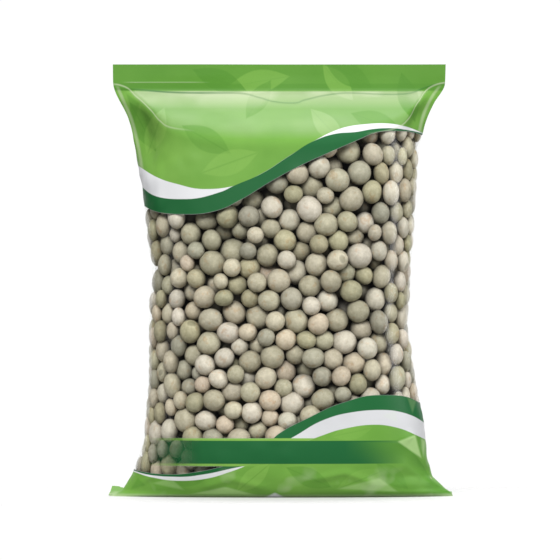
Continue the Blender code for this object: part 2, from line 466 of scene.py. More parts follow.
@dataclass(frozen=True)
class Leaf:
    """One faint leaf in the green of the print: its stalk end, turn and size."""

    across: float
    height: float
    turn: float
    length: float
    width: float
    shade: float
    point: float = 1.25
    softness: float = 0.12
    midrib: Span = (0.10, 0.02)
    vein_turns: float = 40.0
    vein_slant: float = 7.0

    def mask(self, panel: Panel) -> tuple[Num, Num]:
        """Where the leaf and its veins are.

        Args:
            panel: The point of the print.

        Returns:
            The leaf's mask and the veins' mask.
        """
        x, z, length, width = panel.x, panel.z, self.length, self.width
        turn = math.radians(self.turn)
        cos, sin = math.cos(turn), math.sin(turn)
        start = self.across * cos + self.height * sin
        middle = self.height * cos - self.across * sin
        along = x.weighed(cos / length, z.weighed(sin / length, -start / length))
        aside = abs(z.weighed(cos / width, x.weighed(-sin / width, -middle / width)))
        belly = (along * (1.0 - along) * 4.0) ** self.point
        inside = (belly - aside).ramp(0.0, self.softness)
        side = along.weighed(self.vein_turns, aside * -self.vein_slant).sine().ramp(0.9, 1.3)
        return inside, inside * aside.ramp(*self.midrib).most(side)


@dataclass(frozen=True)
class Facet:
    """A flat patch of crumpled film between folds, painted paler as a highlight where its strength is above
    0 and darker as shade where it is below, with three corners in millimetres, anticlockwise.
    """

    corners: Outline
    # Strength of the painted highlight; a value below 0 gives painted shade.
    painted_light: float
    softness: Span = (-0.2, 0.6)

    def mask(self, panel: Panel) -> Num:
        """Where the patch is on the print.

        Args:
            panel: The point of the print.

        Returns:
            The patch's mask, with soft edges.
        """
        inside: Number = 1.0
        for start, end in zip(self.corners, self.corners[1:] + self.corners[:1]):
            run, rise = end[0] - start[0], end[1] - start[1]
            length = math.hypot(run, rise)
            offset = (start[0] * rise - start[1] * run) / length
            within = panel.z.weighed(run / length, panel.x.weighed(-rise / length, offset))
            inside = within.ramp(*self.softness) * inside
        return inside


@dataclass(frozen=True)
class FilmFinish:
    """The printed film: clear in the window, green at both ends, glossy all over, with light and shade
    painted on its seal, roof, folds, facets and edges.
    """

    colours: PrintColours = PrintColours()
    roughness: float = 0.42
    ink_ior: float = 1.3
    film_ior: float = 1.30
    most_shine: float = 0.22
    shine: Colour = (0.9, 0.9, 0.9)
    shine_roughness: float = 0.19
    clear: Colour = (0.97, 0.975, 0.965)
    relief: float = 0.0012
    cloudy: float = 0.45
    leaf_strength: float = 0.85
    vein_strength: float = 0.7
    # Painted shade: how far the green darkens towards the lower right corner.
    corner_shade: float = 0.55
    shade_across: Span = (5, 50)
    shade_up: Span = (45, 25)
    top_heights: Span = (105, 160)
    base_heights: Span = (0, 50)
    top_white: Outline = (
        (-72, 142.1), (-58.1, 134.1), (-48.5, 128.4), (-42.2, 126.3), (-30, 124), (-18.8, 125.2),
        (-8.1, 129.8), (4.1, 137.5), (14.2, 143.6), (22.4, 147.7), (28.1, 149.4), (34.1, 150.2),
        (40.5, 150.6), (48.3, 149.9), (58, 146.8), (72, 139),
    )
    top_dark: Outline = (
        (-72, 136.5), (-56.9, 125.9), (-48.5, 120.8), (-38.2, 120), (-24, 122.8), (-18.8, 125.2),
        (-8.1, 129.8), (4.1, 137.5), (14.2, 143.6), (22.5, 146.3), (30.4, 147), (38.1, 148.3),
        (44.1, 148.6), (50.5, 148.1), (58.1, 146.6), (72, 139),
    )
    window_top: Outline = (
        (-72, 126.8), (-56.1, 118.1), (-48.6, 114.7), (-36.1, 113.9), (-26, 115.2), (-16, 119.6),
        (-4.1, 126.8), (8.1, 133.4), (20.4, 139), (32.9, 144.5), (36.9, 146.3), (42.2, 147.4),
        (48.4, 147.5), (58.1, 146), (72, 138),
    )
    window_base: Outline = (
        (-72, 13.9), (-60.2, 11), (-52.4, 9.7), (-44.2, 9.3), (-32, 10.6), (-20.7, 13.3),
        (-8.1, 17), (-1.2, 25.3), (11.2, 32.1), (25.6, 38.4), (39.4, 41.3), (48.6, 41),
        (55.6, 38.4), (61.1, 33.2), (72, 18.9),
    )
    base_white: Outline = (
        (-72, 12.8), (-59.9, 10.5), (-52.4, 8.9), (-40.8, 8.3), (-30, 9.5), (-20, 11.7),
        (-13.2, 13.3), (-6.1, 18), (6, 24.9), (18.4, 31.7), (27.6, 34.2), (40.6, 35.3),
        (49.3, 34.2), (59.3, 29.1), (72, 16.9),
    )
    base_green: Outline = (
        (-72, 12.4), (-59.8, 10.1), (-52.4, 8.1), (-40.8, 6.7), (-30, 7.6), (-20, 10.5),
        (-13.2, 13.1), (0, 18.5), (16, 24.8), (25.6, 27.8), (38.2, 29.4), (46.4, 28.3),
        (55.3, 24.8), (60.1, 22.1), (72, 10.8),
    )
    roof_fold: Outline = (
        (-72, 166), (-66, 165.4), (-40.4, 163.3), (-16.2, 163.1), (-8.1, 161.2), (-1.2, 159.4),
        (5.2, 159), (10.1, 160.3), (20.6, 162.6), (27.9, 163.2), (43.6, 162.6), (51.3, 162.9),
        (57.9, 165.1), (63.2, 166.7), (72, 168),
    )
    seal_heights: Span = (150, 176)
    ridge_heights: Span = (140, 176)
    # Painted highlight lines along the left and right edges, as (height, across) points.
    rims: tuple[Outline, Outline] = (
        ((120, -54), (133, -55.9), (142, -57.5), (152, -60), (160, -63.4), (168, -66.8)),
        ((120, 54.3), (134, 54.8), (142, 55.6), (152, 57.4), (159, 60.1), (168, 66)),
    )
    ridge: Outline = (
        (-72, 167), (-65.2, 166.5), (-58.1, 161.7), (-52, 155.9), (-48.1, 151.4), (-44.3, 149),
        (-35.5, 147.6), (-25.2, 146), (0, 145.4), (30, 146), (42, 147.4), (47.8, 149.2),
        (51.4, 152), (55.9, 159.5), (63.5, 166.7), (72, 168),
    )
    bar: Span = (13.7, 23)
    bar_line: float = 1.0
    bar_fade: Span = (-53, -31)
    bar_green: Span = (30, 51)
    lines_fade: Span = (46, 54)
    line_gleam: Span = (-46, -36)
    line_gap: Span = (-20, 0)
    # Painted shade: where the white turns greyer.
    soft_white_up: Span = (60, 50)
    soft_white_across: Span = (-15, 15)
    # Painted shade of the seal strip, and the crease in it painted as a highlight line.
    seal_starts: Span = (163.9, 164.4)
    seal_step: Span = (167.3, 166.7)
    seal_crease: float = 167.5
    crease_width: Span = (0.08, 0.3)
    crease_start: Span = (-64, -60)
    crease_end: Span = (-36, -28)
    seal_leaves: float = 0.75
    # Painted shade along the fold under the seal, which also gives the film a relief there.
    fold_width: Span = (0.55, 0.1)
    fold_start: Span = (-64, -50)
    fold_deepens: Span = (-18, -32)
    fold_relief: Span = (-0.9, 0)
    # The roof: painted darker, then given a painted reflection that is brightest just under the seal.
    roof_start: Span = (-1.5, 2)
    roof_end: Span = (164.2, 163.6)
    roof_brightens: Span = (156.5, 162)
    # Painted highlight lines along the ridge of the roof and along both edges of the upper bag.
    ridge_width: Span = (0.1, 0.55)
    ridge_fades: Span = (34, 50)
    ridge_ends: Span = (66, 70)
    rims_start: Span = (124, 134)
    rims_end: Span = (164, 167)
    turned_start: Span = (-10, -4)
    turned_end: Span = (2, -1)
    # Painted light along the foot of the bag.
    foot_edge: Span = (1.5, 0.3)
    # The fold across the lower right corner, under which the print is painted in shade.
    corner_fold: Outline = (
        (-72, 22), (16, 22.6), (38, 22.4), (47, 21.6), (52.5, 18.6), (57.5, 13), (62, 6),
        (72, 0),
    )
    corner_heights: Span = (0, 30)
    corner_under: Span = (-9, -0.3)
    corner_edge: Span = (0.3, -0.1)
    corner_start: Span = (26, 48)
    leaves: tuple[Leaf, ...] = (
        Leaf(-36, 173, -22, 25, 4.6, -0.75),
        Leaf(-22, 165.5, 10, 27, 5, 0.55),
        Leaf(-61, 160, -62, 24, 4.5, -0.6),
        Leaf(-54, 137, 70, 22, 4.4, 0.4),
        Leaf(-40, 150, -30, 24, 5, -0.45),
        Leaf(-14, 152, 58, 20, 4.2, -0.35),
        Leaf(-8, 139, -160, 26, 5.2, 0.4),
        Leaf(12, 157, -48, 21, 4.4, 0.5),
        Leaf(17, 175, -50, 20, 4.4, 0.6),
        Leaf(38, 165, 150, 24, 4.8, -0.5),
        Leaf(49, 172, -75, 22, 4.4, -0.6),
        Leaf(28, 155, -20, 23, 4.6, -0.35),
        Leaf(-46, 6, 12, 20, 3.8, -0.45),
        Leaf(-18, 2, 40, 19, 3.8, 0.5),
        Leaf(2, 12.5, -24, 21, 4, -0.5),
        Leaf(22, 3, 22, 22, 4, 0.45),
        Leaf(52, 3, 140, 18, 3.8, -0.45),
        Leaf(20, 24.5, 12, 18, 3.2, 0.35),
    )
    # Painted highlights and painted shade on facets of the crumpled film.
    facets: tuple[Facet, ...] = (
        Facet(((47, 22.6), (57.4, 15.2), (54.6, 25.4)), 0.55),
        Facet(((57.8, 14.6), (58.9, 22.6), (56.6, 24)), 0.35),
        Facet(((40.5, 33), (47.5, 30), (46.5, 35.2)), 0.08),
        Facet(((51, 40.5), (53.4, 33.4), (55.2, 39)), 0.12),
        Facet(((22, 3.5), (48, 2), (40, 8)), 0.26),
        Facet(((-37, 1.2), (-9, 1), (-22, 4.6)), 0.4),
        Facet(((-61, 2.4), (-54, 4.6), (-57.5, 8)), -0.5),
        Facet(((-52, 5.5), (-38, 2.6), (-44, 8)), 0.2),
        Facet(((-62.5, 163.5), (-59, 150), (-56.6, 159)), -0.55),
        Facet(((48.5, 149.5), (52, 149), (60.5, 163)), -0.3),
    )
    white_tip: Facet = Facet(((-7.2, -0.4), (2.9, -0.4), (-2, 2.2)), 0.9)
    # Painted sheen in pale patches near the base.
    base_patches: Span = (13, 8)
    cloud: Grain = Grain(30.0, 3.0, 0.6)
    cloud_pale: Span = (0.48, 0.75)
    cloud_deep: Span = (0.46, 0.3)
    # Mottle of the painted roof sheen.
    mottle: Grain = Grain(48.0, 2.0, 0.3)
    mottle_step: Span = (0.44, 0.56)
    # Noise of the patches of painted sheen near the base.
    patches: Grain = Grain(70.0, 2.0)
    patch_step: Span = (0.56, 0.64)
    soft_creases: Grain = Grain(22.0, 2.0, 0.4)
    tall_creases: Grain = Grain(24.0, 1.0)
    fine_creases: Grain = Grain(60.0, 2.0)
    film_grain: Grain = Grain(240.0, 2.0)
    dullness: Grain = Grain(60.0)

    def greens(self, panel: Panel) -> tuple[Socket, Number]:
        """The green ground with its faint leaves, painted in shade towards the lower right corner.

        Args:
            panel: The point of the print.

        Returns:
            The colour, and how pale the leaves are at each place.
        """
        graph, inks = panel.graph, self.colours
        leafy: Number = 0.0
        cloud = graph.noise(panel.place, self.cloud)
        ground = graph.blend(cloud.ramp(*self.cloud_pale) * self.cloudy, inks.mid_green, inks.pale_green)
        ground = graph.blend(cloud.ramp(*self.cloud_deep) * self.cloudy, ground, inks.deep_green)
        for leaf in self.leaves:
            shape, veins = leaf.mask(panel)
            leafy = shape.weighed(leaf.shade, leafy)
            tone = inks.pale_green if leaf.shade > 0 else inks.deep_green
            ground = graph.blend(shape * (abs(leaf.shade) * self.leaf_strength), ground, tone)
            ground = graph.blend(veins * abs(leaf.shade) * self.vein_strength, ground, inks.deep_green)
        # Painted shade: the green darkens towards the lower right corner.
        shade = panel.x.ramp(*self.shade_across) * panel.z.ramp(*self.shade_up) * self.corner_shade
        return graph.blend(shade, ground, inks.deep_green), leafy

    def bands(self, panel: Panel) -> tuple[Socket, Num, Num, Number]:
        """The print: the green ends, the white and dark green waves, and the bar near the base, with the
        white painted in shade towards the lower right.

        Args:
            panel: The point of the print.

        Returns:
            The colour, where there is ink, where the upper green is, and how pale its leaves are.
        """
        graph, inks, x, z = panel.graph, self.colours, panel.x, panel.z
        above_white, above_dark, above_window = (
            panel.above(outline, self.top_heights)
            for outline in (self.top_white, self.top_dark, self.window_top)
        )
        under_window, under_dark, under_white = (
            1.0 - panel.above(outline, self.base_heights)
            for outline in (self.window_base, self.base_white, self.base_green)
        )
        ground, leafy = self.greens(panel)
        low, high = self.bar
        in_bar = panel.between(low, high)
        in_lines = panel.between(low - self.bar_line, high + self.bar_line)
        bar_starts = x.ramp(*self.bar_fade) ** 0.8
        bar_ends = 1.0 - x.ramp(*self.bar_green) ** 2.0
        lines_end = 1.0 - x.ramp(*self.lines_fade)
        # Painted shade: the white turns greyer towards the lower right.
        white_shade_share = z.ramp(*self.soft_white_up) * x.ramp(*self.soft_white_across)
        white = graph.blend(white_shade_share, inks.white, inks.white_in_painted_shade)
        colour = graph.blend(above_white.most(under_white), white, ground)
        dark = (above_window * (1.0 - above_dark)).most(under_window * (1.0 - under_dark))
        colour = graph.blend(dark, colour, inks.dark_green)
        line_share = in_lines * lines_end * (1.0 - under_white * x.ramp(*self.line_gap))
        colour = graph.blend(line_share, colour, ground)
        colour = graph.blend(line_share * x.ramp(*self.line_gleam) * 0.5, colour, inks.pale_green)
        colour = graph.blend(in_bar * (1.0 - under_window).most(bar_ends), colour, inks.dark_green)
        printed = above_window.most(under_window).most(in_lines * bar_starts * lines_end).clamped()
        return colour, printed, above_white, leafy

    def folded(
        self, panel: Panel, colour: Socket, above_white: Num, leafy: Number
    ) -> tuple[Socket, Num, Num]:
        """The painted light and shade that the seal, the roof, the folds and the crumpled film give the
        print.

        Args:
            panel: The point of the print.
            colour: The colour of the print.
            above_white: Where the upper green is.
            leafy: How pale its leaves are.

        Returns:
            The colour, the relief of the film, and where it turns down under the roof.
        """
        graph, inks, x, z = panel.graph, self.colours, panel.x, panel.z
        over_fold = z - panel.line(self.roof_fold, self.seal_heights)
        over_ridge = z - panel.line(self.ridge, self.ridge_heights)
        over_corner = z - panel.line(self.corner_fold, self.corner_heights)
        # Painted shade: a dark line along the fold under the seal.
        folds = abs(over_fold).ramp(*self.fold_width) * x.ramp(*self.fold_start)
        folds = folds * (x.ramp(*self.fold_deepens) * 0.35 + 0.35)
        # Painted shade under the fold across the lower right corner.
        corner = over_corner.ramp(*self.corner_under) * over_corner.ramp(*self.corner_edge)
        corner = corner * x.ramp(*self.corner_start) * 0.8
        # Painted shade: the seal strip is darkened towards deep green, more so below its crease.
        strip = z.ramp(*self.seal_starts) * (z.ramp(*self.seal_step) * 0.2 + 0.68)
        # The roof, which is painted in shade and given a painted reflection below.
        roof = over_ridge.ramp(*self.roof_start) * z.ramp(*self.roof_end) * above_white
        roof_top = roof * z.ramp(*self.roof_brightens)
        on_step = 1.0 - abs(z - self.seal_crease).ramp(*self.crease_width)
        seal_line = on_step * x.ramp(*self.crease_start) * (1.0 - x.ramp(*self.crease_end))
        on_ridge = 1.0 - abs(over_ridge).ramp(*self.ridge_width)
        rim = on_ridge * (1.0 - abs(x).ramp(*self.ridge_ends)) * abs(x).ramp(*self.ridge_fades)
        # Painted shade: the corner, the seal strip and the roof darkened towards deep green.
        colour = graph.blend(corner.most(strip).most(roof * 0.45), colour, inks.deep_green)
        # Painted reflection: a pale sheen over the roof, broken up by a mottle and by the leaves.
        mottle = graph.noise(panel.place, self.mottle).ramp(*self.mottle_step)
        painted_roof_sheen = (roof_top * 0.54 + roof * 0.16) * (mottle * 0.35 + 0.75) + roof * leafy * 0.2
        colour = graph.blend(painted_roof_sheen.clamped(), colour, inks.painted_light)
        for side, ink in ((1.0, inks.pale_green), (-1.0, inks.deep_green)):
            colour = graph.blend((strip * leafy * (self.seal_leaves * side)).clamped(), colour, ink)
        colour = graph.blend(folds, colour, inks.dark_green)
        # Painted light: the foot of the bag lightened towards its lower edge.
        colour = graph.blend(z.ramp(*self.foot_edge) * 0.45, colour, inks.painted_light)
        # Painted highlights (paler) and painted shade (darker) on facets of the crumpled film.
        for facet in self.facets:
            tone = inks.gleam if facet.painted_light > 0 else inks.deep_green
            colour = graph.blend(facet.mask(panel) * abs(facet.painted_light), colour, tone)
        # Painted sheen: pale patches on the crumpled film near the base.
        patches = graph.noise(panel.place, self.patches).ramp(*self.patch_step)
        colour = graph.blend(patches * z.ramp(*self.base_patches) * 0.22, colour, inks.painted_light)
        colour = graph.blend(self.white_tip.mask(panel) * self.white_tip.painted_light, colour, inks.white)
        # Painted highlights: pale lines along the crease in the seal, along the ridge of the roof, and along
        # both edges of the upper bag.
        left, right = (panel.rim(outline) for outline in self.rims)
        sides = left.most(right) * z.ramp(*self.rims_start) * (1.0 - z.ramp(*self.rims_end))
        painted_highlights = (seal_line * 0.5).most(rim).most(sides * above_white * 0.7) * 0.5
        colour = graph.blend(painted_highlights, colour, inks.painted_light)
        relief = self.crumple(panel) + over_fold.ramp(*self.fold_relief) * 0.25 + seal_line * 0.1
        return colour, relief, over_ridge.ramp(*self.turned_start) * over_ridge.ramp(*self.turned_end)

    def crumple(self, panel: Panel) -> Num:
        """The height of the film's soft creases.

        Args:
            panel: The point of the print.

        Returns:
            The height, in shares of the finish's relief.
        """
        graph, place = panel.graph, panel.place
        x, y, z = graph.split(place)
        soft = graph.noise(place, self.soft_creases)
        tall = graph.joined(x * 1.5 + soft * 0.01, y, z * 0.55 + soft * 0.01)
        facets = abs(graph.noise(tall, self.tall_creases) - 0.5) * 1.6
        fine = abs(graph.noise(place, self.fine_creases) - 0.5)
        return soft * 0.8 + facets * 0.45 + fine * 0.12 + graph.noise(place, self.film_grain) * 0.02

    def material(self) -> bpy.types.Material:
        """Builds the film's material.

        Returns:
            The material, clear in the window and inked at both ends.
        """
        graph = Graph("printed_film")
        place = graph.place()
        x, _, z = (part * (1.0 / MM) for part in graph.split(place))
        panel = Panel(graph, place, x, z)
        colour, printed, above_white, leafy = self.bands(panel)
        colour, relief, turned = self.folded(panel, colour, above_white, leafy)
        normal = graph.bump(relief, 0.6, self.relief)
        rough = self.roughness + graph.noise(place, self.dullness) * 0.12 + turned * 0.25
        inked = graph.shader(
            "BsdfPrincipled", Base_Color=colour, Roughness=rough, IOR=self.ink_ior, Normal=normal
        )
        clear = graph.shader("BsdfTransparent", Color=self.clear)
        shine = graph.shader(
            "BsdfPrincipled",
            Base_Color=self.shine,
            Metallic=1.0,
            Roughness=self.shine_roughness,
            Normal=normal,
        )
        grazing = Num(graph, graph.shader("Fresnel", IOR=self.film_ior, Normal=normal))
        window = graph.mixed(grazing.least(self.most_shine), clear, shine)
        return graph.finish(graph.mixed(printed, window, inked))


@dataclass(frozen=True)
class PeaFinish:
    """The dry skin of the peas, whose colour, with painted shade between the peas, is stored pea by pea."""

    scar: Colour = (0.60, 0.60, 0.57)
    blush: Colour = (0.86, 0.66, 0.50)
    shadow: Colour = (0.70, 0.69, 0.60)
    dust: Colour = (1.0, 0.96, 0.88)
    scar_size: Span = (0.42, 0.30)
    relief: float = 0.00035
    roughness: float = 0.55
    ior: float = 1.45
    mottle: Grain = Grain(2.2, 5.0, 0.65)
    speckle: Grain = Grain(9.0, 3.0, 0.6)
    sweep: Grain = Grain(1.6, 3.0, 0.6)
    blotch: Grain = Grain(1.4, 3.0, 0.6)

    def material(self) -> bpy.types.Material:
        """Builds the peas' material.

        Returns:
            The material, which reads each pea's colour with its painted shade, and its marks, from its
            points.
        """
        graph = Graph("dried_pea_skin")
        tint_and_shade = graph.attribute("tint_and_shade")
        marks = Num(graph, tint_and_shade.outputs["Alpha"])
        spot = graph.attribute("skin").outputs["Vector"]
        local = graph.attribute("local").outputs["Vector"]
        x, y, z = graph.split(local)
        mottle = graph.noise(spot, self.mottle)
        speckle = graph.noise(spot, self.speckle)
        sweep = graph.noise(graph.joined(x * 1.2, y * 5.0 + z, z * 5.0), self.sweep)
        dusty = mottle.ramp(0.5, 0.75) * 0.5
        colour = graph.blend(dusty, tint_and_shade.outputs["Color"], self.dust, Joining.SOFT_LIGHT)
        shade = graph.blend(mottle.ramp(0.5, 0.28) * 0.6, colour, self.shadow, Joining.MULTIPLIED)
        shade = graph.blend(sweep.ramp(0.55, 0.75) * 0.45, shade, self.shadow, Joining.MULTIPLIED)
        blotch = graph.noise(spot, self.blotch).ramp(0.58, 0.68)
        shade = graph.blend(blotch * 0.55, shade, self.blush, Joining.MULTIPLIED)
        oval = ((y / self.scar_size[0]) ** 2.0 + (z / self.scar_size[1]) ** 2.0) ** 0.5
        oval = oval + (mottle - 0.5) * 0.35
        side = x.ramp(0.0, 0.2)
        scar = (1.0 - oval.ramp(0.7, 1.1)) * side * marks
        rim = (1.0 - abs(oval - 1.2).ramp(0.0, 0.3)) * side * marks
        shade = graph.blend(scar * (0.55 + mottle * 0.4), shade, self.scar, Joining.MULTIPLIED)
        shade = graph.blend(rim * 0.2, shade, self.dust, Joining.SOFT_LIGHT)
        shade = graph.blend(speckle.ramp(0.6, 0.74) * 0.4, shade, self.blush, Joining.MULTIPLIED)
        height = mottle * 0.7 + speckle * 0.25 + sweep * 0.3 - scar * 0.5
        normal = graph.bump(height, 0.5, self.relief)
        rough = self.roughness + mottle * 0.2
        skin = graph.shader("BsdfPrincipled", Base_Color=shade, Roughness=rough, IOR=self.ior, Normal=normal)
        return graph.finish(skin)


@dataclass
class BagShape:
    """The form that the film takes round the peas, as formulas of the height.

    The edges, the flatness and the roundness are read at heights in millimetres. Each wave of the top
    seal has a height in millimetres, a rate and a start in radians.
    """

    height: float = 0.1748
    seal: float = 0.0108
    film: float = 0.0004
    foot_depth: float = 0.019
    foot_rise: float = 0.024
    belly_depth: float = 0.0288
    shoulder_depth: float = 0.0268
    roof_slope: float = 1.45
    roof_round: float = 0.0065
    left_edge: Outline = (
        (0, -68.9), (2.8, -64), (10.9, -59.3), (16.2, -57.5), (22.3, -55.4), (32.4, -54.7),
        (45, -53.6), (51, -53.3), (78.2, -53.2), (83, -52.4), (91.1, -51.9), (103.7, -53.8),
        (117.5, -55.1), (125.1, -55.9), (133.2, -57.1), (141.8, -58.7), (152.3, -61.2), (167.7, -67.6),
        (175.5, -67.7),
    )
    right_edge: Outline = (
        (0, 70.1), (1.8, 69), (3.3, 66.9), (4.9, 65.4), (8.5, 61.6), (11.7, 60.3), (23.1, 59.1),
        (30, 58.4), (37.3, 56.9), (47, 55.1), (51, 54.5), (60.8, 53.3), (68.9, 51.9), (80.2, 52.7),
        (92.7, 53.1), (103.3, 54.1), (115.8, 54.9), (123.9, 55.5), (134.1, 56), (141.3, 56.8),
        (151.9, 59.2), (158.8, 62.2), (167, 66.8), (175.5, 67.1),
    )
    flatness: Outline = ((0, 2.4), (12, 2.6), (40, 2.7), (110, 2.7), (150, 2.8), (165, 2.8))
    roundness: Outline = ((0, 1.15), (12, 1.9), (36, 3.2), (125, 3.2), (150, 1.7), (165, 1.15))
    shoulder: Outline = (
        (-1, 0), (-0.90, 0.16), (-0.83, 0.44), (-0.78, 0.62), (-0.71, 0.76), (-0.58, 0.88), (-0.30, 0.985),
        (0, 1), (0.30, 0.985), (0.60, 0.92), (0.74, 0.84), (0.82, 0.70), (0.869, 0.546), (0.907, 0.24),
        (0.95, 0.07), (1, 0),
    )
    shoulder_heights: tuple[Span, Span] = ((0.126, 0.149), (0.141, 0.158))
    waves: tuple[tuple[float, float, float], ...] = ((0.9, 52.0, 0.6), (0.5, 118.0, 2.0))
    wave_foot: float = 0.135
    wave_rise: float = 0.035

    @property
    def seal_foot(self) -> float:
        """Height at which the top seal starts."""
        return self.height - self.seal

    def edges(self, z: Array) -> tuple[Array, Array]:
        """The left and right edges of the bag at each height."""
        return eased(z / MM, self.left_edge) * MM, eased(z / MM, self.right_edge) * MM

    def swell(self, z: Array) -> Array:
        """How deep the full bag is at its middle, before the roof cuts it off.

        Args:
            z: Height.

        Returns:
            The depth in front of the middle plane, or behind it.
        """
        rise = np.sqrt(1 - (1 - np.clip(z / self.foot_rise, 0, 1)) ** 2)
        full = eased(z, ((0.0, self.belly_depth), (0.10, self.belly_depth), (0.15, self.shoulder_depth)))
        return self.foot_depth + (full - self.foot_depth) * rise

    def depth(self, share: Array, z: Array) -> Array:
        """How far the film stands out from the middle plane.

        Args:
            share: Place across the panel, from -1 at its left edge to 1 at its right edge.
            z: Height.

        Returns:
            The distance.
        """
        flat = eased(z / MM, self.flatness)
        round_ = eased(z / MM, self.roundness)
        bow = np.clip(1 - np.abs(share) ** flat, 0, 1) ** (1 / round_)
        left, right = (np.array(heights) for heights in self.shoulder_heights)
        low, high = (left[end] + (right - left)[end] * (share + 1) / 2 for end in (0, 1))
        bow = bow + (eased(share, self.shoulder) - bow) * smooth((z - low) / (high - low))
        belly = self.swell(z) * bow
        roof = self.roof_slope * np.clip(self.seal_foot - z, 0, None)
        return self.film + np.clip(soft_least(roof, belly, self.roof_round), 0, None)

    def wave(self, x: Array, z: Array) -> Array:
        """How far the flat top seal waves forward or back."""
        fade = np.clip((z - self.wave_foot) / self.wave_rise, 0, 1) ** 2
        return fade * MM * sum(high * np.sin(x * rate + start) for high, rate, start in self.waves)

    def points(self, share: Array, z: Array, face: Face) -> Array:
        """Points on a panel.

        Args:
            share: Place across the panel.
            z: Height.
            face: Which panel.

        Returns:
            The points, one row each.
        """
        left, right = self.edges(z)
        x = (left + right) / 2 + share * (right - left) / 2
        y = face.value * self.depth(share, z) + self.wave(x, z)
        return np.stack([x, y, z], axis=-1)


@dataclass(frozen=True)
class Crease:
    """A soft fold in a panel that runs between points of the panel, in millimetres."""

    line: Outline
    width: float
    height: float
    face: Face = Face.FRONT
    run_out: float = 6.0
    least: float = 0.15

    def lift(self, points: Array) -> Array:
        """How far the fold raises each point of its panel, in metres.

        Args:
            points: The panel's points.

        Returns:
            The rise of each.
        """
        flat = points[:, [0, 2]] / MM
        nearest = np.full(len(flat), 1e9)
        for start, end in zip(self.line[:-1], self.line[1:]):
            a, b = np.array(start), np.array(end)
            t = np.clip((flat - a) @ (b - a) / ((b - a) @ (b - a)), 0, 1)
            nearest = np.minimum(nearest, np.linalg.norm(flat - a - t[:, None] * (b - a), axis=1))
        ends = np.array([self.line[0], self.line[-1]])
        fade = np.minimum(*(np.linalg.norm(flat - end, axis=1) for end in ends))
        return self.height * MM * bell(nearest, self.width) * np.clip(fade / self.run_out, self.least, 1)


@dataclass(frozen=True)
class PeaForm:
    """How a dried pea strays from a ball, with the least and the greatest of what differs."""

    waves: int = 3
    wave_height: Span = (0.004, 0.016)
    wave_rate: Span = (2.0, 5.0)
    wave_start: Span = (0.0, 6.0)
    most_dents: int = 2
    dent_depth: Span = (0.02, 0.07)
    dent_width: Span = (0.3, 0.5)
    lean: Span = (0.0, 0.07)
    breadth: Span = (0.91, 1.05)
    height: Span = (0.86, 1.12)

    def points(self, ball: Array, draw: np.random.Generator) -> Array:
        """The form of one pea: a little oval, dented and pinched.

        Args:
            ball: Points of a unit ball.
            draw: The source of its irregularity.

        Returns:
            The pea's points, about as large as the ball.
        """
        reach = np.ones(len(ball))
        for _ in range(self.waves):
            along = ball @ self.any_way(draw)
            high = draw.uniform(*self.wave_height)
            reach += high * np.sin(along * draw.uniform(*self.wave_rate) + draw.uniform(*self.wave_start))
        for _ in range(draw.integers(0, self.most_dents + 1)):
            angle = np.arccos(np.clip(ball @ self.any_way(draw), -1, 1))
            reach -= draw.uniform(*self.dent_depth) * bell(angle, draw.uniform(*self.dent_width))
        reach += draw.uniform(*self.lean) * ball[:, 2]
        stretch = np.array([1.0, draw.uniform(*self.breadth), draw.uniform(*self.height)])
        return ball * reach[:, None] * stretch

    @staticmethod
    def any_way(draw: np.random.Generator) -> Array:
        """A direction drawn evenly from all directions."""
        way = draw.normal(0, 1, 3)
        return way / np.linalg.norm(way)


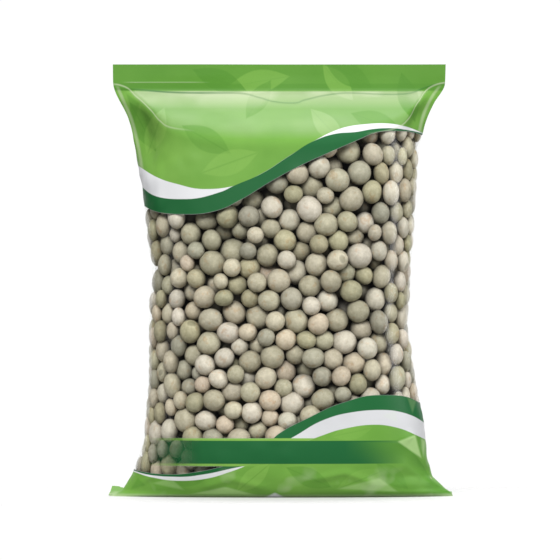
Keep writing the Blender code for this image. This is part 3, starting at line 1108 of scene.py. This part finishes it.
@dataclass
class PeaHeap:
    """The loose dried peas: where they lie and how each one looks."""

    radius: float = 0.0045
    spread: float = 0.00052
    count: int = 1620
    seed: int = 11
    fill_height: float = 0.1525
    film_gap: float = 0.00012
    looseness: float = 0.0070
    closeness: float = 1.6
    extremes: float = 1.9
    start_inside: float = 0.6
    start_low: tuple[float, float, float] = (-0.075, -0.028, 0.002)
    start_high: Span = (0.075, 0.028)
    near: float = 2.8
    near_film: float = 2.2
    look_every: int = 10
    push: float = 0.32
    settling: float = 0.8
    narrow_from: float = 0.032
    narrow_to: float = 0.056
    narrowest: float = 0.42
    # Painted shade between the peas: the depths under the film over which it deepens, the darkest share, and
    # how dark each pea's sides turn.
    shaded: Span = (0.0038, 0.0132)
    darkest: float = 0.05
    rim_shade: float = 0.64
    tones: Span = (0.82, 1.08)
    scarred: float = 0.10
    steps: int = 260
    settle: float = 0.00004
    pieces: int = 4
    tries: int = 3
    near_side: float = 0.35
    under_roof: float = 0.9
    fineness: int = 3
    rim_reach: float = 1.05
    tone_spread: float = 0.010
    skin_shift: float = 40.0
    form: PeaForm = field(default_factory=PeaForm)
    finish: PeaFinish = field(default_factory=PeaFinish)
    tints: tuple[tuple[float, Colour], ...] = (
        (0.28, (0.47, 0.44, 0.32)),
        (0.22, (0.56, 0.51, 0.39)),
        (0.16, (0.65, 0.60, 0.50)),
        (0.14, (0.44, 0.41, 0.27)),
        (0.08, (0.61, 0.52, 0.40)),
        (0.12, (0.39, 0.37, 0.29)),
    )
    centres: Array = field(default_factory=lambda: np.zeros((0, 3)))
    radii: Array = field(default_factory=lambda: np.zeros(0))
    gaps: Array = field(default_factory=lambda: np.zeros(0))

    def narrowness(self, x: Array) -> Array:
        """How narrow the peas are across the bag, from 1 in its middle to the least at its sides."""
        share = (np.abs(x) - self.narrow_from) / (self.narrow_to - self.narrow_from)
        return 1 - (1 - self.narrowest) * np.clip(share, 0, 1)

    def widened(self, x: Array, back: bool = False) -> Array:
        """Stretches distances across the bag so that narrow peas become round ones, or undoes it.

        Args:
            x: Distances from the middle of the bag.
            back: Whether the stretch is undone.

        Returns:
            The stretched or restored distances.
        """
        plain = np.linspace(0, 0.08, 801)
        wide = np.concatenate([[0], np.cumsum(np.diff(plain) / self.narrowness(plain[1:]))])
        known, wanted = (wide, plain) if back else (plain, wide)
        return np.sign(x) * np.interp(np.abs(x), known, wanted)

    def lie(self, film: BVHTree) -> None:
        """Finds where every pea lies.

        Args:
            film: The inside of the bag, widened.
        """
        draw = np.random.default_rng(self.seed)
        low, high = self.radius - self.extremes * self.spread, self.radius + self.extremes * self.spread
        self.radii = np.clip(draw.normal(self.radius, self.spread, self.count), low, high)
        kept: list[Array] = []
        while len(kept) < self.count:
            spot = draw.uniform(self.start_low, (*self.start_high, self.fill_height))
            place, normal, _, _ = film.find_nearest(Vector(spot))
            if (Vector(spot) - place).dot(normal) < -self.radius * self.start_inside:
                kept.append(spot)
        centres = np.array(kept)
        self.gaps = self.looseness * draw.uniform(0, 1, self.count) ** self.closeness
        pairs = np.zeros((0, 2), int)
        near = np.arange(self.count)
        for step in range(self.steps):
            look = step % self.look_every == 0
            if look:
                pairs = self.neighbours(centres)
            away = centres[pairs[:, 0]] - centres[pairs[:, 1]]
            gap = np.linalg.norm(away, axis=1) + 1e-9
            overlap = np.clip(self.radii[pairs].sum(axis=1) - gap, 0, None)
            shift = away * (self.push * overlap / gap)[:, None]
            np.add.at(centres, pairs[:, 0], shift)
            np.add.at(centres, pairs[:, 1], -shift)
            if step < self.steps * self.settling:
                centres[:, 2] -= self.settle
            inward = self.hold_in(centres, film, np.arange(self.count) if look else near)
            if look:
                near = np.nonzero(inward < self.radius * self.near_film)[0]
        self.centres = centres.copy()
        self.centres[:, 0] = self.widened(centres[:, 0], back=True)

    def neighbours(self, centres: Array) -> Array:
        """Finds the peas that lie close to each other.

        Args:
            centres: Where the peas are.

        Returns:
            The pairs, one row each.
        """
        tree = search_tree(centres)
        found = []
        for index, centre in enumerate(centres):
            close = tree.find_range(Vector(centre), self.near * self.radius)
            found += [(index, other) for _, other, _ in close if other > index]
        return np.array(sorted(found))

    def hold_in(self, centres: Array, film: BVHTree, which: Array) -> Array:
        """Moves peas that reach the film back inside.

        Args:
            centres: Where the peas are, which this changes.
            film: The inside of the bag.
            which: The peas to look at.

        Returns:
            How far each of those was from the film.
        """
        depths = np.zeros(len(which))
        for row, index in enumerate(which):
            centre = Vector(centres[index])
            place, normal, _, _ = film.find_nearest(centre)
            depths[row] = (place - centre).dot(normal)
            short = self.radii[index] + self.film_gap + self.gaps[index] * normal.y**2 - depths[row]
            if short > 0:
                centres[index] -= np.array(normal) * min(short, self.radius)
        centres[:, 2] = np.minimum(centres[:, 2], self.fill_height - self.radii * self.under_roof)
        return depths

    def clear_of_film(self, points: Array, film: BVHTree) -> tuple[Array, Array]:
        """Moves one pea in until no point of it reaches the film.

        Args:
            points: The pea's points.
            film: The inside of the bag.

        Returns:
            The points and how far each lies under the film, measured along one direction.
        """
        for _ in range(self.tries):
            centre = points.mean(axis=0)
            place, normal, _, _ = film.find_nearest(Vector(centre))
            outward = np.array(normal)
            under = (np.array(place) - points) @ outward
            least, way = float(under.min()), outward
            for point in points[under < self.radius * self.near_side]:
                spot, side, _, _ = film.find_nearest(Vector(point))
                depth = (spot - Vector(point)).dot(side)
                if depth < least:
                    least, way = depth, np.array(side)
            if least >= self.film_gap:
                break
            points = points - way * (self.film_gap - least)
        points[:, 2] += max(self.film_gap - float(points[:, 2].min()), 0.0)
        return points, under

    def build(self, film: BVHTree) -> list[bpy.types.Object]:
        """Builds the peas as a few pieces, from the bottom of the bag to the top.

        Args:
            film: The inside of the bag.

        Returns:
            The pieces.
        """
        draw = np.random.default_rng(self.seed + 1)
        sample = bmesh.new()
        bmesh.ops.create_icosphere(sample, subdivisions=self.fineness, radius=1.0)
        ball = np.array([v.co[:] for v in sample.verts])
        ball /= np.linalg.norm(ball, axis=1)[:, None]
        faces = np.array([[v.index for v in f.verts] for f in sample.faces])
        sample.free()
        material = self.finish.material()
        weights = np.array([share for share, _ in self.tints])
        order = np.argsort(self.centres[:, 2], kind="stable")
        made = []
        for number, batch in enumerate(np.array_split(order, self.pieces)):
            points, sides, tints, skins, locals_ = [], [], [], [], []
            for place, index in enumerate(batch):
                turn = self.random_turn(draw)
                form = self.form.points(ball, draw) * self.radii[index]
                tone = np.array(self.tints[draw.choice(len(weights), p=weights / weights.sum())][1])
                tone = tone * draw.uniform(*self.tones) * draw.normal(1.0, self.tone_spread, 3)
                scarred = 1.0 if draw.random() < self.scarred else 0.0
                form = form @ turn.T
                form[:, 0] *= self.narrowness(self.centres[index, 0])
                form, under = self.clear_of_film(form + self.centres[index], film)
                points.append(form)
                sides.append(faces + place * len(ball))
                # Painted shade: each pea darkened where it lies deeper under the film, and towards its own
                # sides away from the film.
                low, high = self.shaded
                painted_shade = 1 - (1 - self.darkest) * smooth((under - low) / (high - low))
                round_ = np.clip((under - under.min()) / (self.rim_reach * self.radii[index]), 0, 1)
                painted_shade = painted_shade * (1 - self.rim_shade * round_**2)
                tints.append(np.column_stack([painted_shade[:, None] * tone, np.full(len(ball), scarred)]))
                skins.append(ball + draw.uniform(-self.skin_shift, self.skin_shift, 3))
                locals_.append(ball)
            piece = mesh_piece(f"peas_{number + 1}", np.concatenate(points), np.concatenate(sides), material)
            self.store(piece, "tint_and_shade", "FLOAT_COLOR", "color", np.concatenate(tints))
            self.store(piece, "skin", "FLOAT_VECTOR", "vector", np.concatenate(skins))
            self.store(piece, "local", "FLOAT_VECTOR", "vector", np.concatenate(locals_))
            made.append(piece)
        return made

    @staticmethod
    def store(piece: bpy.types.Object, name: str, kind: str, key: str, values: Array) -> None:
        """Stores a value on each point of a piece."""
        layer = piece.data.attributes.new(name, kind, "POINT")
        layer.data.foreach_set(key, values.astype(np.float32).ravel())

    @staticmethod
    def random_turn(draw: np.random.Generator) -> Array:
        """A rotation drawn evenly from all rotations.

        Args:
            draw: The source of chance.

        Returns:
            The rotation's matrix.
        """
        q = draw.normal(0, 1, 4)
        w, x, y, z = q / np.linalg.norm(q)
        return np.array(
            [
                [1 - 2 * (y * y + z * z), 2 * (x * y - w * z), 2 * (x * z + w * y)],
                [2 * (x * y + w * z), 1 - 2 * (x * x + z * z), 2 * (y * z - w * x)],
                [2 * (x * z - w * y), 2 * (y * z + w * x), 1 - 2 * (x * x + y * y)],
            ]
        )


@dataclass(frozen=True)
class BackSeam:
    """The fin that closes the web down the back of the bag, pressed to one side."""

    foot: float = 0.012
    below_top: float = 0.0005
    rings: int = 160
    width: float = 0.009
    root: float = 0.0004
    stand_off: float = 0.0007
    slope: float = 0.0002
    lip: float = 0.0003
    ripple: float = 0.0004
    ripple_rate: float = 90.0
    sway: float = 0.0005
    sway_rate: float = 70.0

    def build(self, shape: BagShape, material: bpy.types.Material) -> bpy.types.Object:
        """Builds the fin as a strip along the back panel, four points round.

        Args:
            shape: The form of the bag.
            material: The film's finish.

        Returns:
            The piece.
        """
        loops = []
        for z in np.linspace(self.foot, shape.height - self.below_top, self.rings):
            middle = shape.points(np.zeros(1), np.array([z]), Face.BACK)[0]
            lift = self.stand_off + self.ripple * math.sin(z * self.ripple_rate)
            across = np.array([-self.root, 0.0, self.width, self.width + self.lip])
            across = across + self.sway * math.sin(z * self.sway_rate)
            out = np.array([-self.root, lift, lift + self.slope, lift - self.lip])
            left, right = shape.edges(np.array([z]))
            share = (across - (left + right) / 2) / ((right - left) / 2)
            loop = shape.points(share, np.full(len(share), z), Face.BACK)
            loop[:, 0] = middle[0] + across
            loop[:, 1] += out
            loops.append(loop)
        around = len(loops[0])
        points = np.concatenate(loops)
        faces = tube_faces(len(loops), around, turned=True)
        faces += [list(range(around)), [len(points) - 1 - column for column in range(around)]]
        return mesh_piece("back_seam", points, faces, material, SHARP_ANGLE)


@dataclass(frozen=True)
class BaseSeal:
    """The seal across the base, folded back under the bag, with both ends standing out."""

    ends: Span = (-0.0694, 0.0698)
    rings: int = 90
    reach: float = 0.0098
    film: float = 0.0005
    near_height: float = 0.0002
    far_height: float = 0.0004
    left_rise: float = 0.003
    left_width: float = 0.011
    right_rise: float = 0.0007
    right_width: float = 0.007
    sag: float = 0.15
    corner_rings: int = 3
    corner_cut: float = 0.0012
    corner_slant: float = 0.0009
    slant_width: float = 0.012

    def build(self, material: bpy.types.Material) -> bpy.types.Object:
        """Builds the seal as a flat strip along the base, six points round.

        Args:
            material: The film's finish.

        Returns:
            The piece.
        """
        left, right = self.ends
        x = np.linspace(left, right, self.rings)
        rise = self.left_rise * bell(x - left, self.left_width)
        rise = rise + self.right_rise * bell(x - right, self.right_width)
        slant = self.corner_slant * np.clip((x - left) / self.slant_width, 0, 1)
        thick = np.array([0.0, 0.0, self.film])
        loops = []
        for index, along in enumerate(x):
            cut = (self.corner_cut - slant[index]) * (index < self.corner_rings)
            near = np.array([along, 0.0, self.near_height])
            far = np.array([along + cut, self.reach, self.far_height + rise[index]])
            middle = (near + far) / 2 - (0, 0, self.sag * rise[index])
            loops.append(np.array([near, middle, far, far + thick, middle + thick, near + thick]))
        points = np.concatenate(loops)
        around = len(loops[0])
        faces = tube_faces(len(loops), around)
        faces += [list(range(around))[::-1], list(range(len(points) - around, len(points)))]
        return mesh_piece("base_seal", points, faces, material, SHARP_ANGLE)


@dataclass
class FilmBag:
    """The printed film bag: its skin, its back seam and the folded seal under its base."""

    shape: BagShape = field(default_factory=BagShape)
    finish: FilmFinish = field(default_factory=FilmFinish)
    columns: int = 150
    rows: int = 230
    dip: float = 0.00034
    contact: float = 0.0031
    lift_off: float = 0.0012
    over_fill: float = 0.002
    fade: float = 0.006
    spreads: float = 3.0
    crowding: float = 0.35
    crowding_kept: float = 0.4
    seam: BackSeam = field(default_factory=BackSeam)
    seal: BaseSeal = field(default_factory=BaseSeal)
    creases: tuple[Crease, ...] = (
        Crease(((-50, 142), (-49, 130), (-48.5, 112)), 2, 0.3),
        Crease(((-61, 150), (-58.5, 138), (-56.5, 124)), 1.4, 0.5),
        Crease(((57, 156), (52.5, 146), (51.5, 132)), 1.8, 0.5),
        Crease(((47, 22.5), (53.5, 24.5), (57, 16), (62, 7)), 1.5, 0.8),
        Crease(((48, 14), (56, 9), (64, 2.5)), 1.8, 0.6),
        Crease(((10, 6.5), (26, 10), (40, 5)), 1.6, 0.5),
        Crease(((-60, 3), (-52, 8), (-49, 12)), 1.4, 0.6),
        Crease(((-34, 3), (-20, 7.5), (-4, 3.5)), 1.6, 0.45),
        Crease(((-30, 160), (-14, 150), (-6, 142)), 3, 0.4),
        Crease(((16, 158), (24, 150), (30, 143)), 2.6, 0.4),
        Crease(((-50, 150), (-46, 132), (-47, 112)), 2.2, 0.5, Face.BACK),
        Crease(((52, 152), (47, 134), (49, 112)), 2.2, 0.5, Face.BACK),
        Crease(((-40, 8), (-20, 14), (4, 9)), 2, 0.6, Face.BACK),
        Crease(((20, 12), (38, 17), (52, 8)), 2, 0.6, Face.BACK),
    )

    def __post_init__(self) -> None:
        """Lays out the rings of the skin, each from its left edge along the front and back again."""
        share = np.sin(np.linspace(-math.pi / 2, math.pi / 2, self.columns + 1))
        heights = self.ring_heights()
        grid_share, grid_z = np.meshgrid(share, heights)
        front = self.shape.points(grid_share, grid_z, Face.FRONT)
        back = self.shape.points(grid_share, grid_z, Face.BACK)
        self.skin = np.concatenate([front, back[:, -2:0:-1]], axis=1)
        self.fold()

    def ring_heights(self) -> Array:
        """Heights of the rings, closer together near the base.

        Returns:
            The heights, from the base up.
        """
        even = np.linspace(0, 1, self.rows)
        closer = self.crowding * np.sin(math.pi * even) * (1 - even) * self.crowding_kept
        return self.shape.height * (even - closer)

    def ring_faces(self) -> list[list[int]]:
        """The skin's faces, with a strip of faces across the base and across the top.

        Returns:
            The points of each face, by number.
        """
        rows, around = self.skin.shape[:2]
        faces = tube_faces(rows, around)
        for row, flip in ((0, True), (rows - 1, False)):
            for column in range(self.columns):
                face = (column, column + 1, around - column - 1, (around - column) % around)
                face = [row * around + corner for corner in dict.fromkeys(face)]
                faces.append(face[::-1] if flip else face)
        return faces

    def fold(self) -> None:
        """Raises the folds in both panels."""
        flat = self.skin.reshape(-1, 3)
        inward = self.inward()
        move = np.zeros_like(flat)
        for crease in self.creases:
            on_face = flat[:, 1] * crease.face.value > 0
            move -= inward * (crease.lift(flat) * on_face)[:, None]
        folded = flat + move
        folded[:, 2] = np.maximum(folded[:, 2], 0.0)
        self.skin = folded.reshape(self.skin.shape)

    def inside(self, heap: PeaHeap, widened: bool = False) -> BVHTree:
        """The smooth film, as the peas meet it.

        Args:
            heap: The peas.
            widened: Whether it is stretched across, as the peas are while they find their places.

        Returns:
            The film's faces, ready to be searched.
        """
        flat = self.skin.reshape(-1, 3).copy()
        if widened:
            flat[:, 0] = heap.widened(flat[:, 0])
        return BVHTree.FromPolygons(flat.tolist(), self.ring_faces())

    def press(self, heap: PeaHeap) -> None:
        """Draws the film in between the peas that it touches.

        Args:
            heap: The peas in the bag.
        """
        tree = search_tree(heap.centres)
        inward = self.inward()
        flat = self.skin.reshape(-1, 3)
        held = np.zeros(len(flat))
        reach = heap.radius + heap.spread * self.spreads
        for index, point in enumerate(flat):
            if point[2] > heap.fill_height + self.over_fill:
                continue
            for place, pea, distance in tree.find_range(Vector(point), reach + self.contact):
                offset = np.array(place) - point
                along = float(offset @ inward[index])
                aside = math.sqrt(max(distance**2 - along**2, 0.0))
                depth = along - heap.radii[pea] - heap.film_gap
                near = max(0.0, 1 - max(depth, 0.0) / self.lift_off)
                touch = math.exp(-((aside / self.contact) ** 2)) * near
                held[index] = max(held[index], touch)
        under_top, over_base = (heap.fill_height - flat[:, 2]) / self.fade, flat[:, 2] / self.fade
        filled = np.clip(under_top, 0, 1) * np.clip(over_base, 0, 1)
        move = inward * (self.dip * (1 - held) * filled)[:, None]
        pressed = flat + move
        pressed[:, 2] = np.maximum(pressed[:, 2], 0.0)
        self.skin = pressed.reshape(self.skin.shape)

    def inward(self) -> Array:
        """The way into the bag from each point of the skin.

        Returns:
            The directions, one row each.
        """
        around = np.roll(self.skin, -1, axis=1) - np.roll(self.skin, 1, axis=1)
        up = np.gradient(self.skin, axis=0)
        normal = np.cross(around, up)
        length = np.linalg.norm(normal, axis=2, keepdims=True) + 1e-12
        return -(normal / length).reshape(-1, 3)

    def build(self) -> list[bpy.types.Object]:
        """Builds the bag's pieces.

        Returns:
            The pieces: the skin, the back seam and the base seal.
        """
        material = self.finish.material()
        skin = mesh_piece("film_skin", self.skin.reshape(-1, 3), self.ring_faces(), material, SHARP_ANGLE)
        return [skin, self.seam.build(self.shape, material), self.seal.build(material)]
@dataclass(frozen=True)
class SoftBox:
    """A studio light: its size, place, aim and strength in watts."""

    name: str
    width: float
    height: float
    place: tuple[float, float, float]
    watts: float
    aim: tuple[float, float, float] = (0.0, 0.0, 0.08)

    def build(self) -> None:
        """Adds the light."""
        lamp = bpy.data.lights.new(self.name, "AREA")
        lamp.shape = "RECTANGLE"
        lamp.size = self.width
        lamp.size_y = self.height
        lamp.energy = self.watts
        light = bpy.data.objects.new(self.name, lamp)
        light.location = self.place
        way = Vector(self.aim) - Vector(self.place)
        light.rotation_euler = way.to_track_quat("-Z", "Y").to_euler()
        bpy.context.scene.collection.objects.link(light)


@dataclass(frozen=True)
class Studio:
    """The pale floor, the soft lights and the camera."""

    surround: Colour = (1.0, 1.0, 1.0)
    surround_strength: float = 0.14
    surround_seen: float = 1.02
    floor_tones: tuple[Colour, Colour] = ((0.71, 0.71, 0.71), (0.73, 0.73, 0.73))
    floor_bounce: Colour = (0.42, 0.42, 0.42)
    floor_grain: Grain = Grain(4.0, 2.0)
    floor_reach: float = 3.0
    floor_fade: Span = (0.085, 0.17)
    distance: float = 3.0
    aim: tuple[float, float, float] = (0.0, 0.0, 0.0875)
    frame_width: float = 0.2268
    boxes: tuple[SoftBox, ...] = (
        SoftBox("overhead", 0.8, 0.5, (0.0, 0.30, 0.95), 5.6),
        SoftBox("key", 1.4, 0.9, (-0.32, -1.80, 1.40), 60.0),
        SoftBox("side_strip", 0.24, 0.9, (0.90, -0.34, 0.30), 6.2),
        SoftBox("side_fill", 0.4, 0.9, (-0.95, -0.45, 0.30), 1.3),
        SoftBox("backdrop", 3.0, 2.0, (0.0, 1.60, 0.60), 20.0),
    )

    def build(self) -> None:
        """Builds the studio."""
        for box in self.boxes:
            box.build()
        self.floor()
        self.world()
        self.camera()
        view = bpy.context.scene.view_settings
        view.view_transform = "Standard"
        view.look = "None"

    def floor(self) -> None:
        """The pale floor, which fades into the white surround."""
        graph = Graph("pale_floor")
        grain = graph.noise(graph.place(), self.floor_grain)
        tone = graph.blend(grain, *self.floor_tones)
        paint = graph.shader("BsdfPrincipled", Base_Color=tone, Roughness=0.7 + grain * 0.1)
        dull = graph.shader("BsdfDiffuse", Color=self.floor_bounce)
        seen = graph.mixed(graph.node("ShaderNodeLightPath").outputs["Is Camera Ray"], dull, paint)
        x, y, _ = graph.split(graph.place())
        reach = (x * x + y * y) ** 0.5
        faded = graph.mixed(reach.ramp(*self.floor_fade), seen, graph.shader("BsdfTransparent"))
        corners = np.array([(-1, -1, 0), (1, -1, 0), (1, 1, 0), (-1, 1, 0)]) * self.floor_reach
        floor = mesh_piece("floor", corners, [[0, 1, 2, 3]], graph.finish(faded))

    def world(self) -> None:
        """The even white surround, which the camera sees brighter than it lights the bag."""
        graph = Graph("surround", "worlds")
        lit, seen = (
            graph.shader("Background", Color=self.surround, Strength=strength)
            for strength in (self.surround_strength, self.surround_seen)
        )
        either = graph.mixed(graph.node("ShaderNodeLightPath").outputs["Is Camera Ray"], lit, seen)
        graph.node("ShaderNodeOutputWorld", None, {"Surface": either})
        bpy.context.scene.world = graph.owner

    def camera(self) -> None:
        """The camera, straight in front of the middle of the bag."""
        lens = bpy.data.cameras.new("camera")
        lens.lens = lens.sensor_width * self.distance / self.frame_width
        lens.clip_start = 0.01
        camera = bpy.data.objects.new("camera", lens)
        camera.location = Vector(self.aim) + Vector((0.0, -self.distance, 0.0))
        camera.rotation_euler = (math.radians(90.0), 0.0, 0.0)
        bpy.context.scene.collection.objects.link(camera)
        bpy.context.scene.camera = camera


def main() -> None:
    """Builds the studio, the peas and the film bag, and reports each piece."""
    logging.basicConfig(level=logging.INFO, format="%(name)s: %(message)s")
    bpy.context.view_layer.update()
    Studio().build()
    bag = FilmBag()
    heap = PeaHeap()
    heap.lie(bag.inside(heap, widened=True))
    bag.press(heap)
    for piece in heap.build(bag.inside(heap)):
        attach(piece, "root")
        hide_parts("peas")
        LOG.info("%s has %d faces", piece.name, len(piece.data.polygons))
    for piece in bag.build():
        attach(piece, "root")
        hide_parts("film_bag")
        LOG.info("%s has %d faces", piece.name, len(piece.data.polygons))


if __name__ == "__main__":
    main()
